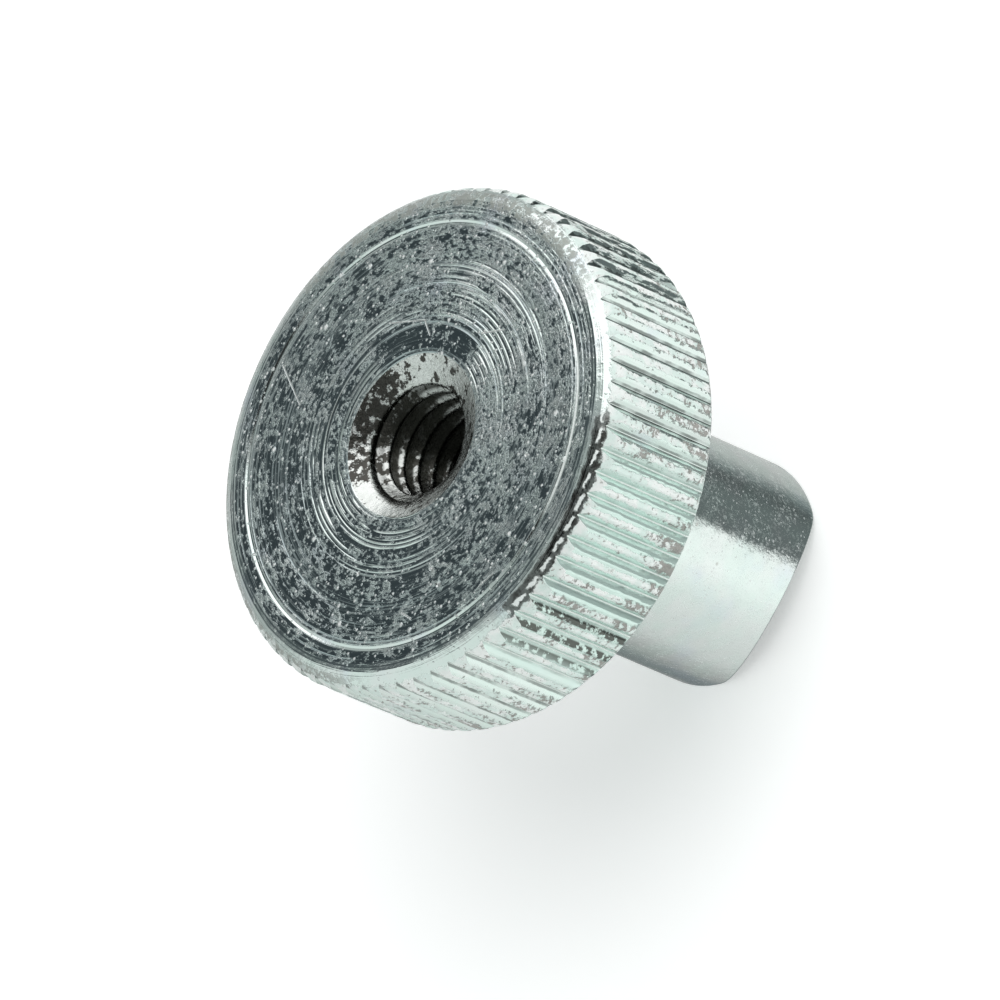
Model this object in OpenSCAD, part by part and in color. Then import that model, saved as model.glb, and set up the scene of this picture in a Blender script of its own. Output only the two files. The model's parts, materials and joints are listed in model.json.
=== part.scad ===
// Knurled adjuster nut: one turned piece, standing on the end of its boss with the head on top.
// The thread's axis is the Z axis, and z = 0 is the plane of the two lands at the boss's end.

/* [Head] */
// Diameter over the knurl's crests
head_d = 24; // [20:0.5:30]
// Thickness of the head
head_h = 7.5; // [5:0.5:12]
// Rounding of the rim beside the face
face_round = 1.2; // [0.6:0.1:1.6]
// Rounding of the rim beside the boss
back_round = 1.0; // [0.4:0.1:1.5]

/* [Knurl] */
// Number of straight V grooves round the head
knurl_count = 70; // [48:1:90]
// Depth of a groove
knurl_depth = 0.35; // [0.2:0.05:0.5]
// Width left of the plain rim between two grooves
crest_w = 0.38; // [0.1:0.02:0.5]

/* [Face] */
// Distance of the fine turned line from the edge of the flat face
ring_inset = 0.75; // [0.3:0.05:2]
// Width of that line
ring_w = 0.2; // [0.1:0.05:0.4]
// Diameter of the countersink in the face
sink_d = 7.75; // [7:0.25:9]
// Angle of the countersink, from side to side
sink_angle = 120; // [90:5:130]

/* [Boss] */
// Diameter of the boss
boss_d = 11; // [10:0.5:14]
// Overall length, from the face to the boss's end
overall_h = 22; // [16:0.5:30]
// Rounding of the boss's outer edge at its end
boss_round = 0.4; // [0.2:0.1:0.6]

/* [Seat] */
// Radius of the hollow across the boss's end, which sits on a cross pin
seat_r = 7; // [5.5:0.5:8]
// Depth of the hollow
seat_depth = 1.5; // [0.5:0.1:1.8]

/* [Thread] */
// Nominal diameter of the thread
thread_d = 6; // [5:1:6]
// Pitch of the thread
thread_pitch = 1; // [0.5:0.05:1]
// Depth, above the hollow, of the plain lead-in to the thread
lead_h = 0.5; // [0.3:0.1:1]

/* [Hidden] */
$fn = 96;
head_r = head_d / 2;
boss_h = overall_h - head_h;
bore_r = (thread_d - thread_pitch) / 2;
sink_r = sink_d / 2;
sink_slope = tan(sink_angle / 2);
sink_h = (sink_r - bore_r) / sink_slope;
ring_r = head_r - face_round - ring_inset;
lead_r = thread_d / 2 + 0.1;
lead_top = seat_depth + lead_h;
// Half the angle from one groove to the next
half_step = 180 / knurl_count;
root_r = head_r - knurl_depth;
// The angle at which a groove's side meets the rim
crest_a = half_step - crest_w / head_r * 90 / PI;
// How far a cutter runs past the surface that it cuts
over = 1;

// The radius at which the sides of two neighbouring grooves would meet, outside the rim
function peak_r() =
    let (dx = head_r * cos(crest_a) - root_r)
    let (dy = head_r * sin(crest_a))
    let (t = root_r * sin(half_step) / (dy * cos(half_step) - dx * sin(half_step)))
    t * dy / sin(half_step);

function polar(r, a) = [r * cos(a), r * sin(a)];

// Half of a disc's section, from z = 0 to h, with both outer corners rounded
module disc_section(r, h, low_round, top_round) {
    square([r - top_round, h]);
    translate([0, low_round])
        square([r, h - low_round - top_round]);
    square([r - low_round, h - top_round]);
    translate([r - top_round, h - top_round])
        circle(r = top_round);
    translate([r - low_round, low_round])
        circle(r = low_round);
}

// The outline that the straight grooves leave, with a crest on the X axis
module knurl_outline() {
    polygon([
        for (k = [0:knurl_count - 1], side = [0, 1])
            polar(side == 0 ? peak_r() : root_r, (2 * k + side) * half_step)
    ]);
}

module head() {
    translate([0, 0, boss_h])
        intersection() {
            rotate_extrude()
                disc_section(head_r, head_h, back_round, face_round);
            translate([0, 0, -over])
                linear_extrude(head_h + 2 * over)
                    knurl_outline();
        }
}

// The boss runs up into the head, so that the two are one solid
module boss() {
    rotate_extrude()
        union() {
            translate([0, boss_round])
                square([boss_d / 2, boss_h + over - boss_round]);
            square([boss_d / 2 - boss_round, boss_h]);
            translate([boss_d / 2 - boss_round, boss_round])
                circle(r = boss_round);
        }
}

// The hollow runs along Y
module pin_seat() {
    translate([0, 0, seat_depth - seat_r])
        rotate([90, 0, 0])
            cylinder(r = seat_r, h = boss_d + 2 * over, center = true);
}

// Bore at the thread's inner diameter, with a countersink above and a lead-in below
module thread_bore() {
    translate([0, 0, -over])
        cylinder(r = bore_r, h = overall_h + 2 * over);
    translate([0, 0, overall_h - sink_h])
        cylinder(r1 = bore_r, r2 = sink_r + over * sink_slope, h = sink_h + over);
    translate([0, 0, -over])
        cylinder(r = lead_r, h = lead_top + over);
    translate([0, 0, lead_top])
        cylinder(r1 = lead_r, r2 = bore_r, h = lead_r - bore_r);
}

// A fine V line, as deep as half its width
module face_line() {
    translate([0, 0, overall_h])
        rotate_extrude()
            translate([ring_r, 0])
                rotate(45)
                    square(ring_w / sqrt(2), center = true);
}

module knurled_nut() {
    color("#b9c4c3")
        difference() {
            union() {
                head();
                boss();
            }
            pin_seat();
            thread_bore();
            face_line();
        }
}

knurled_nut();
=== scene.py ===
"""The knurled adjuster nut: turned, straight-knurled and zinc-plated steel, standing on its boss's end."""
import json
import math

import bmesh
import bpy
import numpy as np
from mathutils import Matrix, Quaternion, Vector


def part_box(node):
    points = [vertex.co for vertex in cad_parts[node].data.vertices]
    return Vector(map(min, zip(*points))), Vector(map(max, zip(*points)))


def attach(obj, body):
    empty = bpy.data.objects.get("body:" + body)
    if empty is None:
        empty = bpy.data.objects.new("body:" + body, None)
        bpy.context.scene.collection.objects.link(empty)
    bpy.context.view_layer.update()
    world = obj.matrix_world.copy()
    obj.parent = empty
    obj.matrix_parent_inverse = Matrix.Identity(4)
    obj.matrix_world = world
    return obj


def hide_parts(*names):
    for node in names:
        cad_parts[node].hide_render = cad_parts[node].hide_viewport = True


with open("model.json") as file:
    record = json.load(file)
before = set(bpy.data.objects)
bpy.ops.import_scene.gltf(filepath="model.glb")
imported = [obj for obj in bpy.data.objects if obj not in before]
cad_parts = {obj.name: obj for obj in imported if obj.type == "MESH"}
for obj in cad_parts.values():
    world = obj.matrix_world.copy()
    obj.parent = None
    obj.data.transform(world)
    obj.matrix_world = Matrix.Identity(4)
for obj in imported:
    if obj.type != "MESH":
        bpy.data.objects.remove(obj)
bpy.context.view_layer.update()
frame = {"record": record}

MM = 0.001
TAU = 2 * math.pi
rng = np.random.default_rng(66)

# ---------------------------------------------------------------- sizes, in millimetres
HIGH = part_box("knurled_nut")[1]
FACE_Z = HIGH[2] / MM
HEAD_R = HIGH[0] / MM
HEAD_H = 7.5
BACK_Z = FACE_Z - HEAD_H
FACE_ROUND = 1.2
BACK_ROUND = 1.0
KNURL_COUNT = 70
KNURL_DEPTH = 0.35
CREST_W = 0.38
# How softly the knurl's edges and the grooves' bottoms are rounded
EDGE_SOFT = 0.02
BOSS_R = 5.5
SEAT_R = 7.0
SEAT_DEPTH = 1.5
BORE_R = frame["record"]["mounts"][0]["dims"]["r_mm"]
PITCH = 1.0
THREAD_R = BORE_R + PITCH / 2
# The countersink: its radius under its rolled edge, how far that is rolled down, and its slope
SINK_R = 3.875
SINK_ROLL = 0.07
SINK_SLOPE = math.tan(math.radians(60))
# The plain lead-in at the boss's end: its radius, and its upper end
LEAD_R = THREAD_R + 0.1
LEAD_TOP = SEAT_DEPTH + 0.5
# The flat part of the face, and the turned line near its edge
FLAT_R = HEAD_R - FACE_ROUND
RING_R = FLAT_R - 0.75

# ---------------------------------------------------------------- the camera, first of all
# It looks down on the face from the side, and is rolled so that the boss points to the right
CAMERA_AZIMUTH = math.radians(6.76)
CAMERA_ELEVATION = math.radians(43.46)
CAMERA_ROLL = math.radians(-66.57)
CAMERA_DISTANCE = 544.9
AIM = Vector((-1.095, -0.13, 15.273))
LENS = 432.0
SENSOR = 36.0
# In metres
NEAR_CLIP, FAR_CLIP = 0.01, 10

# Level directions towards the camera and to one side of it, which the lights are placed by
TOWARDS = Vector((math.sin(CAMERA_AZIMUTH), -math.cos(CAMERA_AZIMUTH), 0))
SIDE = Vector((math.cos(CAMERA_AZIMUTH), math.sin(CAMERA_AZIMUTH), 0))


def make_camera():
    back = TOWARDS * math.cos(CAMERA_ELEVATION) + Vector((0, 0, math.sin(CAMERA_ELEVATION)))
    data = bpy.data.cameras.new("camera")
    data.lens = LENS
    data.sensor_width = SENSOR
    data.clip_start = NEAR_CLIP
    data.clip_end = FAR_CLIP
    camera = bpy.data.objects.new("camera", data)
    camera.rotation_mode = "QUATERNION"
    camera.location = (AIM + back * CAMERA_DISTANCE) * MM
    roll = Quaternion((0, 0, 1), CAMERA_ROLL)
    camera.rotation_quaternion = (-back).to_track_quat("-Z", "Y") @ roll
    bpy.context.scene.collection.objects.link(camera)
    bpy.context.scene.camera = camera


make_camera()


# ---------------------------------------------------------------- small tools for shapes
def smooth_min(a, b, k):
    """The smaller of a and b, blended over a width of about k."""
    return (a + b - np.sqrt((a - b) ** 2 + k * k)) / 2


def smooth_max(a, b, k):
    return -smooth_min(-a, -b, k)


def noise(shape, size):
    """Smooth random values of about unit size that repeat both ways. The size is the blur, in cells."""
    white = np.fft.rfft2(rng.normal(size=shape))
    fy = np.fft.fftfreq(shape[0])[:, None] * size[0]
    fx = np.fft.rfftfreq(shape[1])[None, :] * size[1]
    soft = np.fft.irfft2(white * np.exp(-18 * (fy * fy + fx * fx)), s=shape)
    return soft / soft.std()


def around(count):
    return np.arange(count) * TAU / count


class Skin:
    """Collects rings of points and the faces between them."""

    def __init__(self):
        self.points = []
        self.faces = []
        self.slots = []

    def add(self, r, angle, z):
        """Adds points by radius, angle and height, and returns their numbers in the same shape."""
        r, angle, z = np.broadcast_arrays(r, angle, z)
        first = sum(len(p) for p in self.points)
        self.points.append(np.stack([r * np.cos(angle), r * np.sin(angle), z], -1).reshape(-1, 3))
        return np.arange(first, first + r.size).reshape(r.shape)

    def quads(self, a, b, c, d, slot):
        four = np.stack([a, b, c, d], -1).reshape(-1, 4)
        self.faces += four.tolist()
        self.slots += [slot] * len(four)

    def grid(self, ids, slot):
        """Quads between the rows of a grid that closes on itself along its columns."""
        below = np.roll(ids, -1, 1)
        self.quads(ids[:-1], ids[1:], below[1:], below[:-1], slot)

    def zip(self, upper, lower, slot):
        """Triangles between two closed rings of different counts that start at the same angle."""
        n, m = len(upper), len(lower)
        i = j = 0
        while i < n or j < m:
            if j >= m or (i < n and (i + 1) * m <= (j + 1) * n):
                self.faces.append([upper[i % n], lower[j % m], upper[(i + 1) % n]])
                i += 1
            else:
                self.faces.append([upper[i % n], lower[j % m], lower[(j + 1) % m]])
                j += 1
            self.slots.append(slot)


FACE, KNURL, BOSS, BORE = range(4)
skin = Skin()

# ---------------------------------------------------------------- the knurled head
# Where the columns stand within one groove's pitch: its bottom is at 0, and the crest's middle at 0.5
IN_PITCH = np.array([-0.42, -0.36, -0.315, -0.2, -0.04, 0.0, 0.04, 0.2, 0.315, 0.36, 0.42, 0.5])
STEP = TAU / KNURL_COUNT
# Where the rows stand, as shares of the knurl's length and of the two roundings
ALONG = np.concatenate([[0.004, 0.012], np.linspace(0.025, 0.975, 52), [0.988, 0.996]])
ON_FACE_ROUND = np.array([0.0, 0.2, 0.4, 0.58, 0.72, 0.84, 0.93, 0.98, 1.0])
ON_BACK_ROUND = np.array([1.0, 0.95, 0.85, 0.65, 0.35, 0.0])
FLAT_MARGIN = 0.07
# How far the grooves' depths differ, how deep the crests' pits and the seam along them go, and how far
# the whole outline wavers
GROOVE_UNEVEN = 0.012
PIT_DEPTH = 0.03
SEAM_DEPTH = 0.02
WAVER = 0.002
# The seam takes the columns further from the groove's bottom than this share of the pitch
SEAM_FROM = 0.45
# The outline stays this far inside the CAD's
INSIDE = 0.002
# A rounding stops just short of its quarter circle: the sine of its turn is at most this
NEARLY_ALL = 0.9995


def knurl_outline(rows):
    """The radius over the grooves, with uneven depths and crests that the tool didn't quite fill."""
    cols = KNURL_COUNT * len(IN_PITCH)
    off = np.tile(IN_PITCH * STEP, KNURL_COUNT)
    off = np.sqrt(off**2 + (EDGE_SOFT / HEAD_R) ** 2)
    crest_a = STEP / 2 - CREST_W / HEAD_R / 2
    root_r = HEAD_R - KNURL_DEPTH
    dx = HEAD_R * math.cos(crest_a) - root_r
    dy = HEAD_R * math.sin(crest_a)
    uneven = np.repeat(noise((1, KNURL_COUNT), (1, 1))[0], len(IN_PITCH)) * GROOVE_UNEVEN
    flank = (root_r + uneven) * dy / (dy * np.cos(off) - dx * np.sin(off))
    near_crest = np.clip((off / (STEP / 2) - 0.5) / 0.2, 0, 1)
    worn = 0.5 * noise((rows, cols), (14, 30))
    pits = np.maximum(noise((rows, cols), (1.6, 1.6)) - 0.6 + worn, 0)
    seam = np.where(off / STEP > SEAM_FROM, SEAM_DEPTH, 0.0)
    seam = seam * np.clip(1 + noise((rows, cols), (3, 1)), 0, 3)
    outline = smooth_min(flank[None], HEAD_R, EDGE_SOFT) - near_crest * PIT_DEPTH * pits - seam
    outline = outline + noise((rows, cols), (16, 12)) * WAVER
    return np.minimum(outline, HEAD_R - INSIDE)


def knurled_head():
    """The rim from the flat face to the flat back. Returns its angles and its first and last rings."""
    teeth = np.arange(KNURL_COUNT)[:, None]
    angle = ((teeth + 0.5 + IN_PITCH) * STEP).ravel()
    outline = knurl_outline(len(ALONG))

    def reach(limit, rounding):
        """How far round its quarter circle a rounding goes before the grooves cut it."""
        return np.arcsin(np.clip((limit - (HEAD_R - rounding)) / rounding, 0, NEARLY_ALL))

    turn = reach(outline[0], FACE_ROUND)
    z_up = FACE_Z - FACE_ROUND * (1 - np.cos(turn))
    turn = turn * ON_FACE_ROUND[:, None]
    r = smooth_min(HEAD_R - FACE_ROUND * (1 - np.sin(turn)), outline[0], EDGE_SOFT)
    on_face = skin.add(r, angle, FACE_Z - FACE_ROUND * (1 - np.cos(turn)))

    turn = reach(outline[-1], BACK_ROUND)
    z_down = BACK_Z + BACK_ROUND * (1 - np.cos(turn))
    turn = turn * ON_BACK_ROUND[:, None]
    r = smooth_min(HEAD_R - BACK_ROUND * (1 - np.sin(turn)), outline[-1], EDGE_SOFT)
    z_under = BACK_Z + BACK_ROUND * (1 - np.cos(turn))

    z = z_up + (z_down - z_up) * ALONG[:, None]
    above = np.maximum(z - (FACE_Z - FACE_ROUND), 0)
    below = np.maximum(BACK_Z + BACK_ROUND - z, 0)
    face_side = HEAD_R - FACE_ROUND + np.sqrt(np.maximum(FACE_ROUND**2 - above**2, 0))
    back_side = HEAD_R - BACK_ROUND + np.sqrt(np.maximum(BACK_ROUND**2 - below**2, 0))
    side_r = smooth_min(smooth_min(face_side, outline, EDGE_SOFT), back_side, EDGE_SOFT)
    side = skin.add(side_r, angle, z)
    under = skin.add(r, angle, z_under)
    # A close ring on each side keeps the shading of the flat back flat
    flat = skin.add(HEAD_R - BACK_ROUND - FLAT_MARGIN, angle, BACK_Z)
    skin.grid(on_face, FACE)
    skin.grid(np.vstack([on_face[-1:], side, under]), KNURL)
    skin.grid(np.vstack([under[-1:], flat[None]]), BOSS)
    return angle, on_face[0], flat


# ---------------------------------------------------------------- the flat face with its turned lines
FACE_COLS = 160
# The line near the edge: half its width, its depth, and how far the plain rings outside, inside and
# well inside it stand off
LINE_W = 0.1
LINE_DEPTH = LINE_W * 0.4
OUTSIDE_LINE, INSIDE_LINE, WELL_INSIDE = 0.30, 0.45, 0.6
# The close lines round the hole: their first radius, the one they end before, their spacing, and how far
# each strays
CLOSE_START, CLOSE_END, CLOSE_STEP = 4.4, 6.4, 0.21
STRAY = 0.04
# Radii of the scattered lines outside the close ones, then half the width, and the least and greatest
# depth, of all of them
OUTER_LINES = [6.55, 7.1, 8.35, 9.15]
FINE_W = 0.07
FINE_DEPTHS = (0.015, 0.035)
# The rolled edge of the countersink: its width, and where its rings stand in it
ROLL_W = 0.35
ROLL_SHARES = (0.0, 0.3, 0.55, 0.75, 0.9)


def flat_face(angle, rim):
    """The face inside the rim, down to the countersink's rolled edge. Returns the ring round the hole."""
    across = np.array([[OUTSIDE_LINE], [LINE_W], [0.0], [-LINE_W], [-INSIDE_LINE]])
    sunk = np.array([[0.0], [0.0], [-LINE_DEPTH], [0.0], [0.0]])
    line = skin.add(RING_R + across, angle, FACE_Z + sunk)
    skin.grid(np.vstack([rim[None], line]), FACE)
    close = np.arange(CLOSE_START, CLOSE_END, CLOSE_STEP)
    close = close + rng.uniform(-STRAY, STRAY, len(close))
    radii = np.concatenate([close, OUTER_LINES])[::-1]
    rings = [skin.add(RING_R - WELL_INSIDE, around(FACE_COLS), FACE_Z)]
    for radius in radii:
        deepest = rng.uniform(*FINE_DEPTHS)
        part = np.clip(0.5 + noise((1, FACE_COLS), (1, 45))[0], 0, 1)
        for side in (1, 0, -1):
            z = FACE_Z - deepest * part * (side == 0)
            rings.append(skin.add(radius + side * FINE_W, around(FACE_COLS), z))
    for share in ROLL_SHARES:
        rolled = SINK_R + ROLL_W * (1 - share)
        rings.append(skin.add(rolled, around(FACE_COLS), FACE_Z - SINK_ROLL * share**2))
    skin.zip(line[-1], rings[0], FACE)
    skin.grid(np.vstack(rings), FACE)
    return rings[-1]


# ---------------------------------------------------------------- the threaded bore
THREAD_COLS = 96
# One turn of the thread's section, going down: share of the pitch, and how far outside the crest it is
SECTION = [(0.0, 0.0), (0.10, 0.0), (0.19, 0.06), (0.47, 0.45), (0.53, 0.5), (0.60, 0.5), (0.66, 0.45),
           (0.94, 0.06)]
# Height above the face at which the first turn would start
START = 0.3
# How softly the thread runs out at both ends, and how high its burrs are
RUN_OUT_SOFT = 0.04
BURR = 0.012


def threaded_bore(hole):
    """A right-hand helix whose ends run out in the countersink and in the lead-in. Returns its last ring."""
    per_turn = len(SECTION)
    share, out = np.array(SECTION).T
    turns = int((FACE_Z - LEAD_TOP) / PITCH) + 3
    turn = np.repeat(np.arange(turns), per_turn)
    down = (turn + np.tile(share, turns))[:, None]
    wall = BORE_R + np.tile(out, turns)[:, None]
    z = FACE_Z + START + PITCH * (np.arange(THREAD_COLS) / THREAD_COLS - down)
    top = FACE_Z - SINK_ROLL
    z = np.clip(z, LEAD_TOP, top)
    sink = SINK_R - (top - z) * SINK_SLOPE
    lead = LEAD_R - (z - LEAD_TOP)
    burrs = noise(z.shape, (2.5, 3)) * BURR
    r = smooth_max(smooth_max(wall, sink, RUN_OUT_SOFT), lead, RUN_OUT_SOFT) + burrs
    r = np.where(z >= top, SINK_R, np.where(z <= LEAD_TOP, LEAD_R, r))
    ids = skin.add(r, around(THREAD_COLS), z)
    skin.quads(ids[:-1, :-1], ids[1:, :-1], ids[1:, 1:], ids[:-1, 1:], BORE)
    # The last column meets the first one a turn further up
    up = np.maximum(np.arange(len(ids)) - per_turn, 0)
    skin.quads(ids[:-1, -1], ids[1:, -1], ids[up[1:], 0], ids[up[:-1], 0], BORE)
    skin.zip(hole, ids[0], FACE)
    return ids[-1]


# ---------------------------------------------------------------- the boss and its hollow end
BOSS_COLS = 192
WALL_ROWS = 7
FLOOR_ROWS = 11
# The rounded edge of the boss's end, and the steps of its turn in degrees
EDGE = 0.3
EDGE_TURN = [15, 30, 45, 60, 75, 90]
# The fillet under the head, and how far its middle point stands off both walls
FILLET = 0.25
FILLET_MIDDLE = 0.07
# How softly the hollow meets the lands, and the height taken off so that the lands stay at 0
SEAT_SOFT = 0.12
SEAT_EXTRA = 0.005
# How far outside the lead-in the hollow's rings end, and its lip's rings with their heights above them
LIP_FROM = 0.12
LIP_OUT = [[0.05], [0.0]]
LIP_UP = [[0.02], [0.10]]


def seat_height(x):
    """Height of the boss's end at a distance x from the hollow's middle: the lands are at 0."""
    hollow = SEAT_DEPTH - SEAT_R + np.sqrt(np.maximum(SEAT_R**2 - x**2, 0.01))
    return np.maximum(smooth_max(hollow, 0.0, SEAT_SOFT) - SEAT_EXTRA, 0)


def boss(under):
    """From the fillet under the head to the hollow end. Returns the ring at the mouth of the lead-in."""
    angle = around(BOSS_COLS)
    end = seat_height(BOSS_R * np.cos(angle))
    middle = [FILLET_MIDDLE, FILLET_MIDDLE]
    fillet = np.array([[FILLET + FLAT_MARGIN, 0.0], [FILLET, 0.0], middle, [0.0, FILLET]])
    root = skin.add(BOSS_R + fillet[:, :1], angle, BACK_Z - fillet[:, 1:])
    share = np.linspace(0, 1, WALL_ROWS + 1)[1:, None]
    top = BACK_Z - fillet[-1, 1]
    wall = skin.add(BOSS_R, angle, top + (end + EDGE - top) * share)
    turn = np.radians(EDGE_TURN)[:, None]
    rim_r = BOSS_R - EDGE * (1 - np.cos(turn))
    rim = skin.add(rim_r, angle, seat_height(rim_r * np.cos(angle)) + EDGE * (1 - np.sin(turn)))
    radii = np.linspace(BOSS_R - EDGE, LEAD_R + LIP_FROM, FLOOR_ROWS + 1)[1:, None]
    hollow = skin.add(radii, angle, seat_height(radii * np.cos(angle)))
    lip_r = LEAD_R + np.array(LIP_OUT)
    lip = skin.add(lip_r, angle, seat_height(lip_r * np.cos(angle)) + np.array(LIP_UP))
    skin.zip(under, root[0], BOSS)
    skin.grid(np.vstack([root, wall, rim, hollow, lip]), BOSS)
    return lip[-1]


# Points closer than this, in metres, are one point
WELD = 1e-8


def build_nut():
    angle, rim, under = knurled_head()
    hole = flat_face(angle, rim)
    bottom = threaded_bore(hole)
    mouth = boss(under)
    skin.zip(mouth, bottom, BORE)
    mesh = bpy.data.meshes.new("nut")
    mesh.from_pydata((np.concatenate(skin.points) * MM).tolist(), [], skin.faces)
    mesh.polygons.foreach_set("material_index", skin.slots)
    work = bmesh.new()
    work.from_mesh(mesh)
    bmesh.ops.remove_doubles(work, verts=work.verts, dist=WELD)
    bmesh.ops.dissolve_degenerate(work, edges=work.edges, dist=WELD)
    bmesh.ops.recalc_face_normals(work, faces=work.faces)
    work.to_mesh(mesh)
    open_edges = sum(not edge.is_manifold for edge in work.edges)
    triangles = sum(len(face.verts) - 2 for face in work.faces)
    work.free()
    mesh.polygons.foreach_set("use_smooth", [True] * len(mesh.polygons))
    print("nut:", triangles, "triangles,", open_edges, "open edges")
    made = bpy.data.objects.new("nut", mesh)
    bpy.context.scene.collection.objects.link(made)
    return made


nut = build_nut()
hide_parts("knurled_nut")
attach(nut, "root")


# ---------------------------------------------------------------- small tools for node trees
class Graph:
    """Short calls for a node tree. A value is a number, a tuple or another node's output."""

    def __init__(self, tree):
        self.tree = tree

    def put(self, value, socket):
        if isinstance(value, bpy.types.NodeSocket):
            self.tree.links.new(value, socket)
        else:
            socket.default_value = value

    def add(self, kind, inputs, output=0, **settings):
        node = self.tree.nodes.new(kind)
        for name, setting in settings.items():
            setattr(node, name, setting)
        for name, value in inputs.items():
            self.put(value, node.inputs[name])
        return node.outputs[output] if node.outputs else node

    def math(self, operation, a, b=0.0, c=0.0):
        return self.add("ShaderNodeMath", {0: a, 1: b, 2: c}, operation=operation)

    def plus(self, total, *more):
        for value in more:
            total = self.math("ADD", total, value)
        return total

    def most(self, largest, *more):
        for value in more:
            largest = self.math("MAXIMUM", largest, value)
        return largest

    def times(self, a, b):
        return self.math("MULTIPLY", a, b)

    def vector(self, operation, a, b=(0, 0, 0), output=0):
        return self.add("ShaderNodeVectorMath", {0: a, 1: b}, output, operation=operation)

    def dot(self, a, b):
        return self.vector("DOT_PRODUCT", a, b, 1)

    def scaled(self, a, size):
        return self.add("ShaderNodeVectorMath", {0: a, "Scale": size}, operation="SCALE")

    def ramp(self, value, start, end, low=0.0, high=1.0, soft=True):
        """Goes from low to high as the value goes from start to end."""
        inputs = {"Value": value, "From Min": start, "From Max": end, "To Min": low, "To Max": high}
        kind = "SMOOTHSTEP" if soft else "LINEAR"
        return self.add("ShaderNodeMapRange", inputs, interpolation_type=kind, clamp=True)

    def less(self, value, where, left):
        """The value, but only the share of it that is left where the second value is 1."""
        return self.times(value, self.ramp(where, 0.0, 1.0, 1.0, left))

    def near(self, value, middle, outer, inner):
        """1 within the inner distance from the middle, and 0 beyond the outer one."""
        return self.ramp(self.math("ABSOLUTE", self.plus(value, -middle)), outer, inner)

    def mix(self, share, a, b):
        """Colour a where the share is 0, and b where it is 1."""
        node = self.tree.nodes.new("ShaderNodeMix")
        node.data_type = "RGBA"
        sockets = {socket.name: socket for socket in node.inputs if socket.enabled}
        self.put(share, sockets["Factor"])
        for name, colour in (("A", a), ("B", b)):
            self.put((*colour, 1) if isinstance(colour, tuple) else colour, sockets[name])
        return next(socket for socket in node.outputs if socket.enabled)

    def noise(self, at, size, detail=2.0, rough=0.5, offset=0.0):
        """Smooth noise from 0 to 1 with features of about the given size."""
        if offset:
            at = self.vector("ADD", at, (offset, offset * 0.7, -offset))
        inputs = {"Vector": at, "Scale": 1 / size, "Detail": detail, "Roughness": rough}
        return self.add("ShaderNodeTexNoise", inputs)

    def swing(self, at, size, detail=2.0, rough=0.5, offset=0.0):
        """The same noise from -0.5 to 0.5."""
        return self.plus(self.noise(at, size, detail, rough, offset), -0.5)

    def lines(self, value, size, detail=2.0, rough=0.5):
        """The same noise along one value, for turned lines."""
        inputs = {"W": value, "Scale": 1 / size, "Detail": detail, "Roughness": rough}
        return self.add("ShaderNodeTexNoise", inputs, noise_dimensions="1D")

    def dots(self, at, spacing, share, big, small):
        """Round dots, 1 in the middle and 0 at their edge, in the given share of Voronoi cells."""
        cells = self.tree.nodes.new("ShaderNodeTexVoronoi")
        self.put(at, cells.inputs["Vector"])
        self.put(1 / spacing, cells.inputs["Scale"])
        chance = self.add("ShaderNodeSeparateColor", {0: cells.outputs["Color"]})
        lot = chance.node.outputs
        edge = self.ramp(lot[1], 0.0, 1.0, small / spacing, big / spacing, soft=False)
        inside = self.ramp(self.math("DIVIDE", cells.outputs["Distance"], edge), 1.0, 0.3)
        return self.times(inside, self.math("LESS_THAN", lot[0], share))


# ---------------------------------------------------------------- studio light
WHITE = (1.0, 1.0, 1.0)
MINT = (0.93, 1.0, 0.975)
# Soft panels: degrees round from the camera, degrees up, half-width, half-height, softness, strength, tint
PANELS = [
    (98, 40, 42, 26, 0.2, 1.25, WHITE),
    (-108, 34, 36, 28, 0.3, 0.78, MINT),
    (-172, -18, 26, 12, 0.3, 0.75, WHITE),
]
# Dark gaps between them: degrees round, degrees up, the angles where one begins and is full, and colour
GAPS = [
    (180, 46, 30, 10, (0.07, 0.084, 0.09)),
    (0, 72, 23, 15, (0.03, 0.033, 0.033)),
]
SKY = (0.40, 0.425, 0.42)
# Strength of the light from below, by degrees round from the camera
BELOW = [(-180, 0.50), (-160, 0.20), (-140, 0.24), (-124, 0.36), (-106, 0.5), (-92, 0.64), (-40, 0.80),
         (0, 1.03), (33, 1.0), (36, 0.15), (72, 0.16), (94, 0.10), (106, 0.22), (122, 0.46), (180, 0.62)]
# Its tint where it is weaker than DIM, and where it isn't
DIM = 0.3
DIM_TINT = (0.88, 0.99, 1.0)
BRIGHT_TINT = (0.98, 1.0, 0.985)
# It takes over from the sky as the ray's upward part goes from the first of these to the second
BELOW_FROM, BELOW_FULL = -0.30, -0.5
# What the camera itself sees past the floor
BACKGROUND = (0.95, 0.95, 0.95)


def towards(turn, up):
    """Unit direction at an angle round from the camera and an angle up, in degrees."""
    turn, up = math.radians(turn), math.radians(up)
    level = TOWARDS * math.cos(turn) + SIDE * math.sin(turn)
    return level * math.cos(up) + Vector((0, 0, math.sin(up)))


def spot(g, ray, turn, up, outer, inner):
    """1 within the inner angle of a direction and 0 beyond the outer one."""
    edge = [math.cos(math.radians(angle)) for angle in (outer, inner)]
    return g.ramp(g.dot(ray, towards(turn, up)), *edge)


def panel(g, ray, turn, up, wide, tall, soft):
    """1 inside a rectangle in the sky and 0 outside it."""
    centre = towards(turn, up)
    right = towards(turn + 90, 0)
    depth = g.math("MAXIMUM", g.dot(ray, centre), 0.001)
    inside = 1.0
    for axis, half in ((right, wide), (centre.cross(right), tall)):
        far = g.math("ABSOLUTE", g.math("DIVIDE", g.dot(ray, axis), depth))
        edge = math.tan(math.radians(half))
        inside = g.times(inside, g.ramp(far, edge * (1 + soft), edge * (1 - soft)))
    return inside


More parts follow.
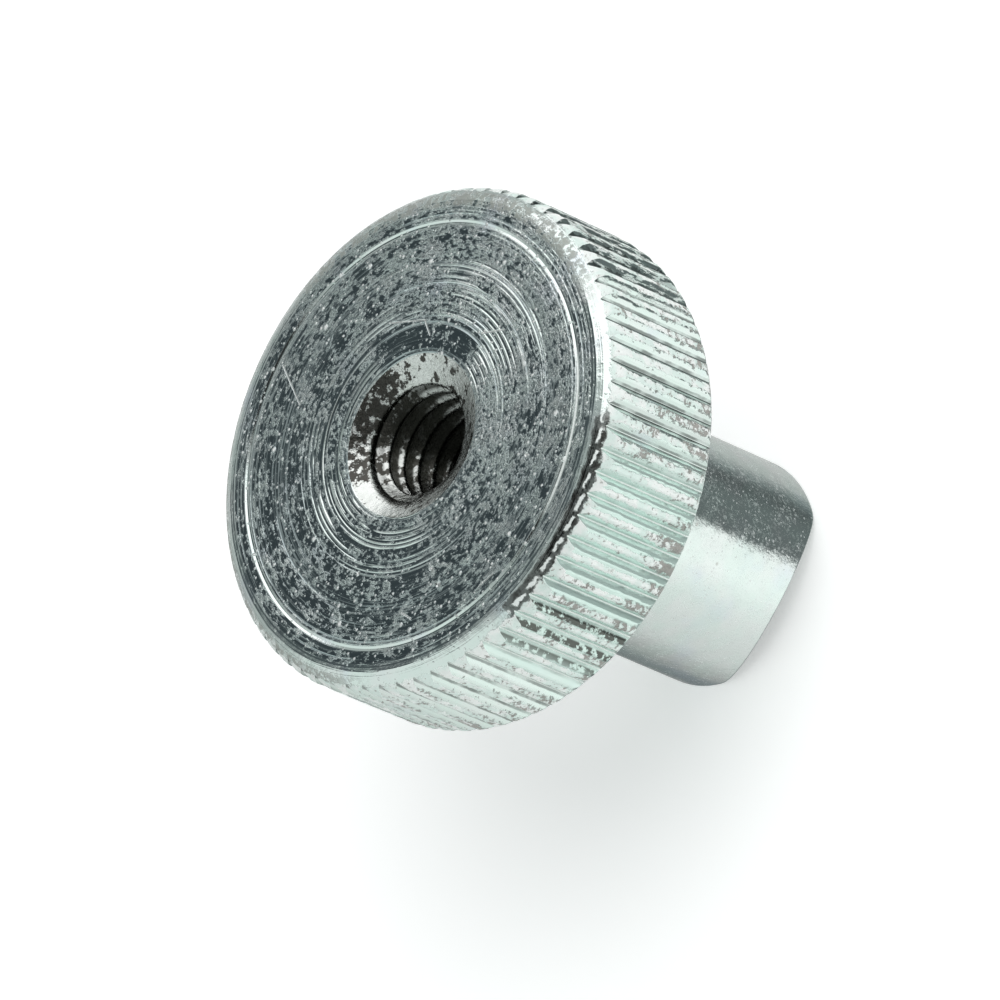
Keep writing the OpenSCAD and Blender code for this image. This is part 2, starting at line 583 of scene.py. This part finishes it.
def studio():
    world = bpy.data.worlds.new("studio")
    bpy.context.scene.world = world
    world.use_nodes = True
    world.node_tree.nodes.clear()
    g = Graph(world.node_tree)
    ray = g.add("ShaderNodeTexCoord", {}, "Generated")
    # The sky is grey, with panels, and with dark gaps behind the nut and high up on the camera's side
    light = SKY
    for turn, up, wide, tall, soft, strength, tint in PANELS:
        shine = tuple(strength * t for t in tint)
        light = g.mix(panel(g, ray, turn, up, wide, tall, soft), light, shine)
    for turn, up, outer, inner, dark in GAPS:
        light = g.mix(spot(g, ray, turn, up, outer, inner), light, dark)
    # The light from below changes all round
    turn = g.math("ARCTAN2", g.dot(ray, SIDE), g.dot(ray, TOWARDS))
    below = world.node_tree.nodes.new("ShaderNodeValToRGB")
    stops = below.color_ramp.elements
    for degrees, strength in BELOW:
        place = (degrees + 180) / 360
        ends = {0: stops[0], 1: stops[len(stops) - 1]}
        stop = ends[place] if place in ends else stops.new(place)
        tint = DIM_TINT if strength < DIM else BRIGHT_TINT
        stop.color = (*(strength * part for part in tint), 1)
    g.put(g.ramp(turn, -math.pi, math.pi, soft=False), below.inputs[0])
    light = g.mix(g.ramp(g.dot(ray, (0, 0, 1)), BELOW_FROM, BELOW_FULL), light, below.outputs[0])
    seen = g.add("ShaderNodeLightPath", {}, "Is Camera Ray")
    light = g.mix(seen, light, BACKGROUND)
    glow = g.add("ShaderNodeBackground", {"Color": light, "Strength": 1.0})
    g.add("ShaderNodeOutputWorld", {"Surface": glow})


def flat_piece(name, corners, shader):
    """A flat part of the stage, from its corners and the function that makes its surface."""
    mesh = bpy.data.meshes.new(name)
    mesh.from_pydata(corners, [], [tuple(range(len(corners)))])
    piece = bpy.data.objects.new(name, mesh)
    bpy.context.scene.collection.objects.link(piece)
    material = bpy.data.materials.new(name)
    material.use_nodes = True
    material.node_tree.nodes.clear()
    g = Graph(material.node_tree)
    g.add("ShaderNodeOutputMaterial", {"Surface": shader(g)})
    mesh.materials.append(material)
    return piece


# The floor: half its width in metres, its white, and its own faint glow
FLOOR_SIDE = 3.0
FLOOR_WHITE = (0.95, 0.95, 0.95, 1)
FLOOR_GLOW = 0.33
# The round under the hole: how far it reaches past the lead-in and how deep it lies, in millimetres, then
# the number of its corners, and its grey
UNDER_MARGIN = 0.3
UNDER_DEPTH = 0.005
UNDER_CORNERS = 48
UNDER_GREY = (0.7, 0.7, 0.7, 1)


def white_floor(g):
    """White from above, and clear from below, where the nut's end is seen through it."""
    matt = g.add("ShaderNodeBsdfDiffuse", {"Color": FLOOR_WHITE})
    glow = g.add("ShaderNodeEmission", {"Color": (1, 1, 1, 1), "Strength": FLOOR_GLOW})
    upper = g.add("ShaderNodeAddShader", {0: matt, 1: glow})
    clear = g.add("ShaderNodeBsdfTransparent", {})
    from_below = g.add("ShaderNodeNewGeometry", {}, "Backfacing")
    return g.add("ShaderNodeMixShader", {0: from_below, 1: upper, 2: clear})


def shaded_floor(g):
    return g.add("ShaderNodeBsdfDiffuse", {"Color": UNDER_GREY})


def floor():
    """A wide floor that the metal doesn't mirror, and a small round just under it that the metal does.

    The round closes the hole's lower end, so that the hole is as dark as it is on a real floor. The
    camera doesn't see it.
    """
    side = FLOOR_SIDE
    corners = [(-side, -side, 0), (side, -side, 0), (side, side, 0), (-side, side, 0)]
    wide = flat_piece("floor", corners, white_floor)
    wide.visible_glossy = False
    reach = (LEAD_R + UNDER_MARGIN) * MM
    z = -UNDER_DEPTH * MM
    corners = [(reach * math.cos(a), reach * math.sin(a), z) for a in around(UNDER_CORNERS)]
    under = flat_piece("floor_under_nut", corners, shaded_floor)
    under.visible_camera = False


# The sun: its strength, how wide it is, and its degrees round from the camera and up
SUN_STRENGTH = 1.0
SUN_WIDTH = math.radians(38)
SUN_PLACE = (40, 62)


def soft_sun():
    """Casts the nut's soft shadow on the floor, and isn't mirrored in the metal."""
    data = bpy.data.lights.new("soft_sun", "SUN")
    data.energy = SUN_STRENGTH
    data.angle = SUN_WIDTH
    sun = bpy.data.objects.new("soft_sun", data)
    sun.rotation_mode = "QUATERNION"
    sun.rotation_quaternion = towards(*SUN_PLACE).to_track_quat("Z", "Y")
    sun.visible_glossy = False
    bpy.context.scene.collection.objects.link(sun)


studio()
floor()
soft_sun()


# ---------------------------------------------------------------- zinc plate, zone by zone
PALE_MINT = (0.77, 0.92, 0.86)
SILVER = (0.87, 0.91, 0.90)
BLUE = (0.76, 0.82, 0.92)
WHITE_ZINC = (0.93, 0.95, 0.94)
GRIME = (0.055, 0.048, 0.040)
# Near black, for stains in the hole and for its painted shade
SOOT_AND_SHADE = (0.030, 0.031, 0.026)

# Where marks, stains and painted light and shade lie round the nut: their middle, in degrees from X towards
# Y, and the cosines of the angles from there at which they begin and are full. The camera stands at -83
# degrees
HOLE_ARCS = (137, -0.6, 0.2)
SIDE_ARCS = (-8, 0.72, 0.95)
PLAIN_PATCH = (25, 0.70, 0.82)
GRAINY_SIDE = (-10, -0.9, 1.0)
RIM_SOIL = (25, 0.45, 0.75)
EDGE_SOIL = (145, 0.45, 0.75)
# The side where the rim has its painted dark reflection and painted highlights
PAINTED_DARK_RIM = (-87, 0.80, 1.0)
# The side where the ring line gets a painted highlight
PAINTED_BRIGHT_RING = (-66, 0.90, 0.97)
# The side facing the camera, where the knurl gets a painted mint sheen
PAINTED_SHEEN_SIDE = (-95, 0.80, 0.95)
BARE_SIDE = (20, 0.68, 0.79)
TORN_FLANKS = (12, 0.72, 0.84)
BLACK_FLANKS = (-111, 0.990, 0.9965)
# The side of the hole with more grime and more painted shade
GRIME_AND_SHADE_SIDE = (106, 0.45, 0.9)
CLEAR_SIDE = (152, 0.55, 0.92)


def start(name):
    """An empty material, its graph, and the place on the nut in millimetres."""
    material = bpy.data.materials.new(name)
    material.use_nodes = True
    material.node_tree.nodes.clear()
    g = Graph(material.node_tree)
    at = g.scaled(g.add("ShaderNodeTexCoord", {}, "Object"), 1 / MM)
    return material, g, at


def polar(g, at):
    """Distance from the axis, the angle round it as a point on a circle, and the height."""
    level = g.vector("MULTIPLY", at, (1, 1, 0))
    radius = g.vector("LENGTH", level, output=1)
    height = g.dot(at, (0, 0, 1))
    return radius, g.vector("NORMALIZE", level), height


def shade(g, colour, roughness, height, metallic=1.0):
    """Ends a material; the height is in millimetres."""
    normal = g.add("ShaderNodeBump", {"Strength": 1.0, "Distance": MM, "Height": height})
    inputs = {"Base Color": colour, "Roughness": roughness, "Metallic": metallic, "Normal": normal}
    shader = g.add("ShaderNodeBsdfPrincipled", inputs)
    g.add("ShaderNodeOutputMaterial", {"Surface": shader})


def plating(g, at, mint):
    """The passivated zinc's own colour: silver, with drifting mint and blue."""
    silver = g.mix(g.ramp(g.noise(at, 2.2, 3, offset=4), 0.52, 0.75, 0.0, 0.7), SILVER, BLUE)
    return g.mix(g.ramp(g.noise(at, 1.6, 3), 0.35, 0.62, mint - 0.2, mint + 0.2), silver, PALE_MINT)


def bearing(g, direction, turn, begins, full):
    """Goes from 0 to 1 as the direction turns to an angle round the axis, given in degrees."""
    turn = math.radians(turn)
    return g.ramp(g.dot(direction, (math.cos(turn), math.sin(turn), 0)), begins, full)


def in_pitches(g, at):
    """The angle round the axis in pitches of the knurl: the crests' middles are at the whole numbers."""
    turn = g.math("ARCTAN2", g.dot(at, (0, 1, 0)), g.dot(at, (1, 0, 0)))
    return g.math("DIVIDE", turn, STEP)


def from_crest(g, at):
    """How far round it is from the nearest crest's middle, from -0.5 to 0.5 of a pitch."""
    return g.plus(g.math("FRACT", g.plus(in_pitches(g, at), 0.5)), -0.5)


TORN_CLEAN = (0.97, 1.0, 0.98)
TORN_MINT = (0.80, 0.93, 0.88)
TORN_DARK = (0.20, 0.195, 0.175)
TORN_GREY = (0.55, 0.54, 0.50)


def torn_white(g, at):
    """Zinc that the knurling tool has torn: near white, with grey and brown specks."""
    dirty = g.mix(g.noise(at, 0.5), TORN_DARK, TORN_GREY)
    clean = g.mix(g.ramp(g.noise(at, 0.9, 3, offset=21), 0.4, 0.6), TORN_CLEAN, TORN_MINT)
    return g.mix(g.ramp(g.noise(at, 0.24, 4, 0.7, offset=17), 0.58, 0.68), clean, dirty)


# Lines cut into the face: radius, half-width, depth, the middle of the arc in degrees, and half its length
FACE_LINES = [(RING_R, 0.11, 0.045, 0, 180), (9.78, 0.06, 0.022, 150, 100), (9.78, 0.06, 0.022, -40, 60),
              (10.42, 0.07, 0.03, -40, 90), (10.6, 0.05, 0.02, 140, 70), (8.35, 0.05, 0.025, 161, 35),
              (8.2, 0.06, 0.02, -15, 55), (7.15, 0.07, 0.025, 0, 60), (6.9, 0.05, 0.02, -10, 40),
              (6.2, 0.06, 0.02, 10, 50), (5.6, 0.05, 0.02, -20, 60), (5.3, 0.08, 0.035, 0, 65),
              (7.6, 0.05, 0.018, 130, 45)]
ALL_ROUND = 180
# A line's end fades in over this much of the cosine of the angle from its middle
LINE_FADE = 0.25


def face_lines(g, direction, radius):
    """Height of the lines cut into the face, each over its own arc."""
    total = 0.0
    for line_r, half, depth, middle, reach in FACE_LINES:
        off = g.math("ABSOLUTE", g.plus(radius, -line_r))
        edge = math.cos(math.radians(reach))
        here = 1.0 if reach == ALL_ROUND else bearing(g, direction, middle, edge, edge + LINE_FADE)
        total = g.plus(total, g.times(g.ramp(off, half, 0.0, 0.0, -depth, soft=False), here))
    return total


# Scratches in the face, each from one point to another, and the distances from it at which one begins
# and is full
SCRATCHES = [((-0.53, 9.67), (-1.63, 7.39)), ((3.75, 4.65), (4.73, 2.70)), ((4.73, 2.70), (4.28, 1.94)),
             ((-6.94, -5.0), (-6.94, -5.7)), ((-4.0, -8.6), (-3.2, -9.0)), ((5.6, -1.0), (6.3, -2.2))]
SCRATCH_W, SCRATCH_FULL = 0.06, 0.01
# Dings: place and radius, and the share of the radius within which one is full
DINGS = [((-4.95, -6.22), 0.20), ((-4.52, -5.35), 0.17), ((-6.56, -1.28), 0.14), ((2.1, -7.3), 0.13)]
DING_FULL = 0.2


def scratches(g, at):
    """1 along the middle of each scratch and 0 beside it."""
    flat = g.vector("MULTIPLY", at, (1, 1, 0))
    total = 0.0
    for start_at, end_at in SCRATCHES:
        run = Vector((end_at[0] - start_at[0], end_at[1] - start_at[1], 0))
        from_start = g.vector("SUBTRACT", flat, (*start_at, 0))
        share = g.ramp(g.dot(from_start, run), 0.0, run.length_squared, soft=False)
        beside = g.vector("SUBTRACT", from_start, g.scaled(tuple(run), share))
        off = g.vector("LENGTH", beside, output=1)
        total = g.most(total, g.ramp(off, SCRATCH_W, SCRATCH_FULL))
    return total


def dings(g, at):
    """1 in the middle of each ding and 0 outside it."""
    flat = g.vector("MULTIPLY", at, (1, 1, 0))
    total = 0.0
    for place, ding_r in DINGS:
        off = g.vector("DISTANCE", flat, (*place, 0), output=1)
        total = g.most(total, g.ramp(off, ding_r, ding_r * DING_FULL))
    return total


# Radii between which the arcs of tool marks come in, by the hole, by the rim and on one side, and those
# of the plain patch
HOLE_ARCS_R = (7.6, 5.4)
RIM_ARCS_R = (9.0, 9.6)
SIDE_ARCS_R = (8.9, 8.2)
PLAIN_PATCH_R = (5.9, 5.4)
# Half the arcs' spacing, and the height of their ridges, in millimetres
ARC_HALF = 0.13
ARC_RISE = 0.032


def drawn_out(g, direction, radius, along, across):
    """A place for noise to be taken at, which draws it out round the axis."""
    outwards = g.vector("MULTIPLY", (0, 0, across), radius)
    return g.vector("ADD", g.scaled(direction, along), outwards)


def face_arcs(g, direction, radius, by_hole, ring, plain):
    """Tool marks in broken arcs: strong by the hole and on one side, faint by the rim.

    Returns where they are, the distance from the foot of a ridge, and their height.
    """
    by_rim = g.times(g.ramp(radius, *RIM_ARCS_R), g.ramp(ring, 1.0, 0.0, 0.0, 0.4))
    on_side = g.times(g.ramp(radius, *SIDE_ARCS_R), bearing(g, direction, *SIDE_ARCS))
    broken = g.noise(drawn_out(g, direction, radius, 2.6, 3.4), 1.6, 3, 0.6, offset=9)
    share = g.most(g.plus(by_hole, g.times(by_rim, 0.6)), g.times(on_side, 0.9))
    share = g.less(g.times(g.ramp(broken, 0.42, 0.54), share), plain, 0.15)
    uneven = g.plus(radius, g.times(g.lines(radius, 0.7), 0.35))
    tooth = g.math("PINGPONG", uneven, ARC_HALF)
    ridge = g.ramp(tooth, 0.06, ARC_HALF, 0.0, ARC_RISE, soft=False)
    faint = g.times(tooth, g.ramp(broken, 0.45, 0.75, 0.0, 0.14))
    return share, tooth, g.plus(g.times(ridge, share), faint)


def rim_soil(g, at, direction, radius):
    """Soil in a band on the rim on one side, and next to the knurl on another."""
    band = g.times(g.ramp(radius, FLAT_R - 0.05, FLAT_R + 0.1), g.ramp(radius, HEAD_R - 0.35, HEAD_R - 0.5))
    band = g.times(band, bearing(g, direction, *RIM_SOIL))
    edge = g.times(g.ramp(radius, HEAD_R - 0.75, HEAD_R - 0.5), bearing(g, direction, *EDGE_SOIL))
    patchy = g.ramp(g.noise(at, 0.3, 4, 0.68, offset=23), 0.42, 0.56)
    return g.times(g.most(band, edge), patchy)


def painted_dark_rim(g, at, direction, radius):
    """A painted dark reflection in a band along the rim nearest the camera, with a painted white highlight
    before each crest.

    Returns the part of the rim that has it, the band and the highlights.
    """
    wobble = g.times(g.swing(at, 0.4, 3, 0.6, offset=31), 0.3)
    there = g.plus(bearing(g, direction, *PAINTED_DARK_RIM), g.times(wobble, 1.5))
    there = g.ramp(there, 0.50, 0.58)
    inner = g.plus(radius, wobble)
    uneven = g.ramp(g.noise(at, 0.5, 4, 0.65, offset=37), 0.35, 0.6, 0.98, 0.72)
    band = g.times(g.times(g.ramp(inner, HEAD_R - 0.82, HEAD_R - 0.72), there), uneven)
    # Each painted highlight lies a little askew
    share = from_crest(g, at)
    off = g.math("ABSOLUTE", g.plus(inner, 0.46 - HEAD_R, g.times(share, -0.10)))
    painted_fleck = g.times(g.ramp(g.plus(off, g.times(wobble, 0.35)), 0.09, 0.03),
                    g.ramp(g.plus(g.math("ABSOLUTE", share), wobble), 0.42, 0.30))
    return there, band, g.times(painted_fleck, there)


# The smooth plate's darker colour: partly its own tone, partly painted dark reflection
DARK_PLATE_AND_REFLECTION = (0.43, 0.50, 0.51)
PALE_FILM = (0.80, 0.88, 0.84)
RIM_SOIL_COLOUR = (0.285, 0.30, 0.27)
# Colours of the painted dark reflection on the rim and of the painted highlights
PAINTED_RIM_BLACK = (0.07, 0.068, 0.062)
PAINTED_HIGHLIGHT_WHITE = (0.95, 1.0, 0.98)


def face_material():
    """Mottled plate with tool marks, specks and scratches, and a cleaner rim with soil, torn zinc, a painted
    dark reflection and painted highlights.
    """
    material, g, at = start("zinc_face")
    radius, direction, height = polar(g, at)
    rim = g.ramp(radius, FLAT_R - 0.15, FLAT_R + 0.15)
    ring = g.near(radius, RING_R, 0.17, 0.12)
    clean = g.most(rim, ring)
    by_hole = g.times(g.ramp(radius, *HOLE_ARCS_R), bearing(g, direction, *HOLE_ARCS))
    plain = g.times(g.ramp(radius, *PLAIN_PATCH_R), bearing(g, direction, *PLAIN_PATCH))
    marked, tooth, arcs = face_arcs(g, direction, radius, by_hole, ring, plain)
    turned = g.times(g.lines(radius, 0.12, 2), 0.012)
    # Pale, rough grains gather in clouds on smoother plate that is darker, partly in its own tone and partly
    # as painted dark reflection, and the plain patch has fewer
    cloud = g.swing(at, 1.3, 3, 0.6, offset=5)
    mottle = g.noise(drawn_out(g, direction, radius, 4.5, 1), 0.21, 4, 0.7, offset=2)
    mottle = g.plus(mottle, g.times(cloud, 0.5), g.times(bearing(g, direction, *GRAINY_SIDE), 0.08))
    mottle = g.plus(mottle, g.times(plain, -0.13))
    grainy = g.less(g.ramp(mottle, 0.50, 0.68), g.most(clean, g.times(marked, 0.8)), 0.1)
    grain = g.times(g.noise(at, 0.16, 3, 0.6), g.plus(g.times(grainy, 0.028), 0.008))
    # Specks are small raised zinc nodules; their near-white, matte colour is partly painted glint
    specks = g.plus(g.dots(at, 0.26, 0.5, 0.10, 0.045), g.dots(at, 0.85, 0.5, 0.18, 0.06))
    specks = g.less(specks, g.most(by_hole, rim), 0.15)
    film = g.ramp(g.noise(at, 1.0, 5, 0.6, offset=14), 0.60, 0.68, 0.0, 0.4)
    # The scratches don't go on over the face's edges
    cut = g.times(scratches(g, at), g.ramp(height, FACE_Z - 0.3, FACE_Z - 0.2))
    ding = dings(g, at)
    bright = g.most(clean, g.times(marked, g.ramp(tooth, 0.05, 0.08, 0.2, 1.0)))
    colour = g.mix(g.plus(grainy, bright), DARK_PLATE_AND_REFLECTION, plating(g, at, 0.3))
    colour = g.mix(film, colour, PALE_FILM)
    colour = g.mix(g.most(specks, cut, ding), colour, WHITE_ZINC)
    rough = g.plus(g.times(grainy, 0.07), 0.06, g.times(specks, 0.25), g.times(film, 0.4))
    rough = g.plus(rough, g.times(g.plus(cut, ding), 0.3))
    bumps = g.plus(arcs, turned, grain, g.times(specks, 0.05), face_lines(g, direction, radius))
    bumps = g.plus(bumps, g.times(cut, -0.02), g.times(ding, -0.06))
    soil = rim_soil(g, at, direction, radius)
    colour = g.mix(g.times(soil, 0.8), colour, RIM_SOIL_COLOUR)
    # The rim nearest the camera gets a painted dark reflection band and painted highlights before the crests
    painted_dark_part, band, painted_fleck = painted_dark_rim(g, at, direction, radius)
    # A painted highlight along the ring line on the camera's side
    painted_ring_line = g.times(g.near(radius, RING_R, 0.09, 0.04), bearing(g, direction, *PAINTED_BRIGHT_RING))
    # Painted highlights, from the rim's flecks and the ring line
    white = g.most(painted_fleck, painted_ring_line)
    colour = g.mix(band, colour, PAINTED_RIM_BLACK)
    colour = g.mix(white, colour, PAINTED_HIGHLIGHT_WHITE)
    # Torn white between the grooves' tips
    torn = g.plus(height, g.times(g.swing(at, 0.5, 4, 0.65, offset=3), 0.5), g.times(painted_dark_part, 0.05))
    torn = g.ramp(torn, FACE_Z - 0.36, FACE_Z - 0.46)
    colour = g.mix(g.times(torn, 0.9), colour, torn_white(g, at))
    # What is loose or dirty is rougher and mirrors less
    loose = g.most(torn, g.times(white, 0.8), g.times(soil, 0.7), g.times(specks, 0.8))
    rough = g.plus(rough, g.times(loose, 0.35))
    bumps = g.plus(bumps, g.times(g.times(g.noise(at, 0.2, 3, 0.6), loose), 0.03))
    shade(g, colour, rough, bumps, metallic=g.ramp(loose, 0.0, 1.0, 1.0, 0.1, soft=False))
    return material


# How far the torn white leans off the crest on the side with the painted mint sheen, in pitches
CREST_LEAN = 0.13
# Heights over the back of the head, going down, between which the pits become more
MORE_PITS = (3.2, 0.4)
# Painted paler mint sheen on the flanks on the side facing the camera
PAINTED_SHEEN_MINT = (0.66, 0.88, 0.80)
# Painted shade along the grooves' bottoms, and their painted highlight line
GROOVE_PAINTED_SHADE = (0.19, 0.215, 0.205)
GROOVE_PAINTED_HIGHLIGHT = (0.92, 1.0, 0.96)
PIT_DARK = (0.16, 0.145, 0.13)
PIT_PALE = (0.46, 0.43, 0.40)
FLANK_BLACK = (0.07, 0.07, 0.06)


def knurl_material():
    """Smooth mint flanks with a painted paler mint sheen on the side facing the camera, painted shade and a
    painted highlight line along the groove's bottom, and crests torn white with brown pits.
    """
    material, g, at = start("zinc_knurl")
    direction, height = polar(g, at)[1:]
    pitch = HEAD_R * STEP
    half_crest = CREST_W / 2
    # Distances round the rim, in millimetres, from the nearest crest's middle and from its torn part's
    level = g.times(g.math("PINGPONG", in_pitches(g, at), 0.5), pitch)
    # The side facing the camera: painted paler mint sheen, less painted shade in the grooves, and less
    # mirror-like flanks
    sheen_side = bearing(g, direction, *PAINTED_SHEEN_SIDE)
    leant = g.plus(in_pitches(g, at), g.times(sheen_side, CREST_LEAN))
    torn = g.times(g.math("PINGPONG", leant, 0.5), pitch)
    # The torn part is uneven, and narrower on the bare side
    uneven = g.swing(at, 0.36, 4, 0.62, offset=3)
    drift = g.swing(at, 2.5, 2, offset=7)
    bare = bearing(g, direction, *BARE_SIDE)
    torn = g.plus(torn, g.times(uneven, 0.36), g.times(drift, 0.2), g.times(bare, 0.10))
    crest = g.ramp(torn, half_crest + 0.01, half_crest - 0.05)
    # Torn flecks lie on some flanks too, drawn out along the groove
    drawn = g.noise(g.vector("MULTIPLY", at, (1, 1, 0.22)), 0.22, 4, 0.66, offset=41)
    flecks = g.times(g.ramp(drawn, 0.52, 0.58), bearing(g, direction, *TORN_FLANKS))
    crest = g.most(crest, g.times(flecks, 0.75))
    # Painted shade along the groove's bottom, with a thin painted highlight line in its middle
    bottom = pitch / 2
    spread = g.plus(g.times(uneven, 0.06), g.times(bare, 0.09), g.times(g.times(bare, uneven), 0.5))
    groove_shade = g.ramp(g.plus(level, spread), bottom - 0.15, bottom - 0.10)
    groove_shade = g.times(groove_shade, g.ramp(g.noise(at, 1.3, 3, offset=12), 0.34, 0.58, 0.25, 0.95))
    groove_shade = g.less(groove_shade, sheen_side, 0.4)
    line = g.ramp(g.plus(level, g.times(sheen_side, 0.012)), bottom - 0.035, bottom - 0.015)
    # Brown pits in and beside the crests, few in most places, many in some, and more near the back
    where = g.plus(g.noise(at, 0.26, 4, 0.65, offset=1), g.times(g.noise(at, 2.6, 2, offset=8), 0.6))
    where = g.plus(where, g.ramp(height, *(BACK_Z + up for up in MORE_PITS), 0.0, 0.10))
    pit = g.times(g.ramp(where, 0.88, 0.96), g.ramp(torn, half_crest + 0.12, half_crest))
    colour = g.mix(g.times(sheen_side, 0.6), plating(g, at, 0.6), PAINTED_SHEEN_MINT)
    colour = g.mix(g.times(groove_shade, 0.9), colour, GROOVE_PAINTED_SHADE)
    colour = g.mix(line, colour, GROOVE_PAINTED_HIGHLIGHT)
    colour = g.mix(g.times(crest, 0.95), colour, torn_white(g, at))
    colour = g.mix(g.times(pit, 0.85), colour, g.mix(g.noise(at, 0.4), PIT_DARK, PIT_PALE))
    # A few flanks are nearly black
    black = g.times(g.near(from_crest(g, at), 0.24, 0.17, 0.10), bearing(g, direction, *BLACK_FLANKS))
    black = g.times(black, g.ramp(g.noise(at, 0.45, 4, 0.65, offset=33), 0.42, 0.50))
    colour = g.mix(g.times(black, 0.93), colour, FLANK_BLACK)
    rough = g.plus(0.12, g.times(crest, 0.36), g.times(pit, 0.12))
    grain = g.times(g.noise(at, 0.18, 3, 0.6), g.plus(g.times(crest, 0.022), 0.002))
    scrape = g.times(g.noise(g.vector("MULTIPLY", at, (1, 1, 0.08)), 0.12, 2), 0.003)
    bumps = g.plus(grain, scrape, g.times(pit, -0.03))
    loose = g.most(crest, pit, g.times(g.plus(line, 0.9), g.times(sheen_side, 0.55)))
    shade(g, colour, rough, bumps, metallic=g.ramp(loose, 0.0, 1.0, 1.0, 0.1, soft=False))
    return material


BOSS_SPECK = (0.35, 0.32, 0.29)
# Moves the dark specks' pattern, so that it isn't the pale ones'
BOSS_SPECK_SHIFT = (3, 5, 7)


def boss_material():
    """Smoother than the head, with a hazy fine speckle, a few dark specks and faint lines round it."""
    material, g, at = start("zinc_boss")
    height = polar(g, at)[2]
    pale = g.plus(g.dots(at, 0.17, 0.36, 0.085, 0.04), g.dots(at, 0.8, 0.22, 0.16, 0.07))
    pale = g.times(pale, g.ramp(g.noise(at, 1.7, 3, 0.6, offset=11), 0.3, 0.55))
    dark = g.dots(g.vector("ADD", at, BOSS_SPECK_SHIFT), 1.2, 0.3, 0.16, 0.05)
    haze = g.ramp(g.noise(at, 0.7, 5, 0.65), 0.38, 0.70)
    colour = g.mix(g.times(dark, 0.45), plating(g, at, 0.4), BOSS_SPECK)
    colour = g.mix(g.times(pale, 0.6), colour, WHITE_ZINC)
    grain = g.times(g.noise(at, 0.16, 3, 0.6), g.plus(g.times(haze, 0.009), 0.003))
    turned = g.times(g.lines(height, 0.14, 3, 0.7), 0.0012)
    bumps = g.plus(grain, turned, g.times(pale, 0.004))
    rough = g.plus(g.times(haze, 0.17), 0.06, g.times(pale, 0.30))
    cloud = g.ramp(g.noise(at, 1.1, 3, offset=27), 0.40, 0.62, 0.15, 1.0)
    dust = g.times(g.ramp(g.noise(at, 0.15, 4, 0.65, offset=19), 0.46, 0.70), cloud)
    scatter = g.most(g.times(pale, 0.36), g.times(dust, 0.36))
    shade(g, colour, rough, bumps, metallic=g.ramp(scatter, 0.0, 1.0, 1.0, 0.0, soft=False))
    return material


BORE_PLATE = (0.66, 0.70, 0.66)


def bore_material():
    """Rough thread with grime stains and painted shade, darker the deeper it goes and on one side, and
    clearer on another.
    """
    material, g, at = start("zinc_bore")
    radius, direction, height = polar(g, at)
    # How deep and how near the thread's roots a point is, for the painted shade
    depth = g.ramp(height, FACE_Z - 0.65, FACE_Z - 1.5)
    root = g.ramp(radius, BORE_R + 0.08, BORE_R + 0.30)
    grime_and_shade = bearing(g, direction, *GRIME_AND_SHADE_SIDE)
    clear = bearing(g, direction, *CLEAR_SIDE)
    stain = g.plus(g.noise(at, 0.42, 4, 0.65, offset=6), g.times(grime_and_shade, 0.17), g.times(clear, -0.05))
    stain = g.ramp(stain, 0.55, 0.61)
    # Painted shade, darker the deeper it goes, towards the roots and on the grimier side; on the clearer
    # side it lifts off the thread's crests, so that they still shine
    painted_shade = g.times(depth, g.ramp(g.plus(grime_and_shade, root), 0.0, 1.0, 0.35, 0.97))
    painted_shade = g.less(painted_shade, g.less(clear, root, 0.0), 0.2)
    colour = g.mix(g.noise(at, 0.5, 3), BORE_PLATE, WHITE_ZINC)
    colour = g.mix(g.times(stain, 0.95), colour, g.mix(g.noise(at, 0.3, 2), SOOT_AND_SHADE, GRIME))
    colour = g.mix(painted_shade, colour, SOOT_AND_SHADE)
    burr = g.noise(at, 0.22, 4, 0.65)
    rough = g.ramp(burr, 0.3, 0.7, 0.10, 0.30)
    shade(g, colour, rough, g.times(burr, g.ramp(clear, 0.0, 1.0, 0.07, 0.03)))
    return material


# In the order of the numbers FACE, KNURL, BOSS and BORE
for zone in (face_material(), knurl_material(), boss_material(), bore_material()):
    nut.data.materials.append(zone)

bpy.context.scene.view_settings.view_transform = "Standard"
